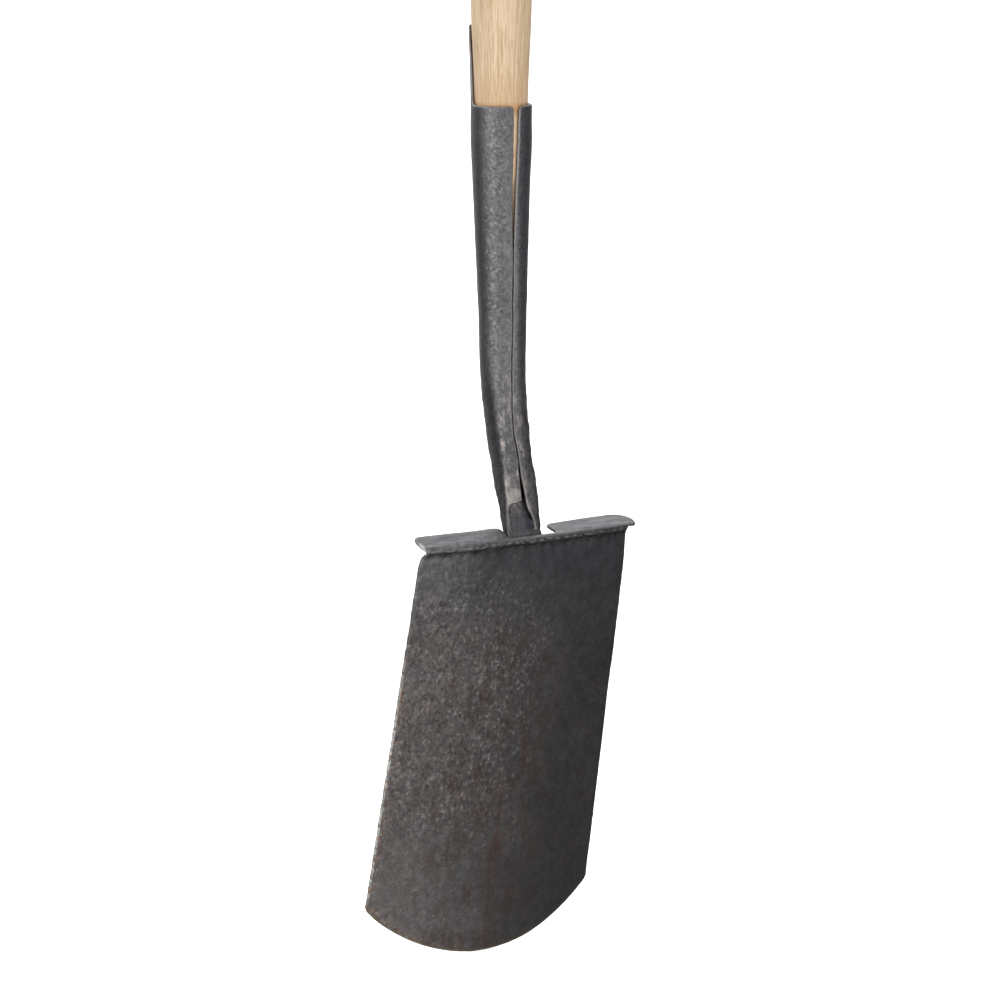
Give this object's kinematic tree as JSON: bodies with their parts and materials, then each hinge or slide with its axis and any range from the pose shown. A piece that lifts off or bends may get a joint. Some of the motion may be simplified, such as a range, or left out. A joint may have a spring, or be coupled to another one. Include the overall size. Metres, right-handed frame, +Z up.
{
  "type": "garden spade",
  "caption": "Digging spade with a dished steel blade, folded foot treads, a cranked open socket with a front strap, an ash shaft and a wedged T-grip.",
  "frame": {"origin": "the middle of the T-grip, on the shaft's axis", "axes": "+Z up along the shaft from the blade to the grip, +X along the grip and across the blade, +Y towards the digging (concave) side"},
  "size_m": [0.1631, 0.0663, 1.1174],
  "materials": {
    "blade_steel": "dark forged scale with rust-brown flecks and worn edges",
    "socket_steel": "mottled gunmetal forging scale, light at the worn edges",
    "weld_metal": "dull rippled weld bead",
    "nail_iron": "dark, slightly rusty hand-forged nail head",
    "shaft_ash": "oiled ash, long straight grain",
    "grip_ash": "hand-polished ash",
    "wedge_wood": "dark hardwood end grain"
  },
  "bodies": {
    "root": {"blade": "blade_steel", "socket": "socket_steel", "tang_weld_left": "weld_metal", "tang_weld_right": "weld_metal", "strap_nail": "nail_iron", "socket_nail": "nail_iron", "shaft": "shaft_ash", "t_grip": "grip_ash", "grip_wedge": "wedge_wood", "grip_peg": "wedge_wood"}
  },
  "joints": []
}
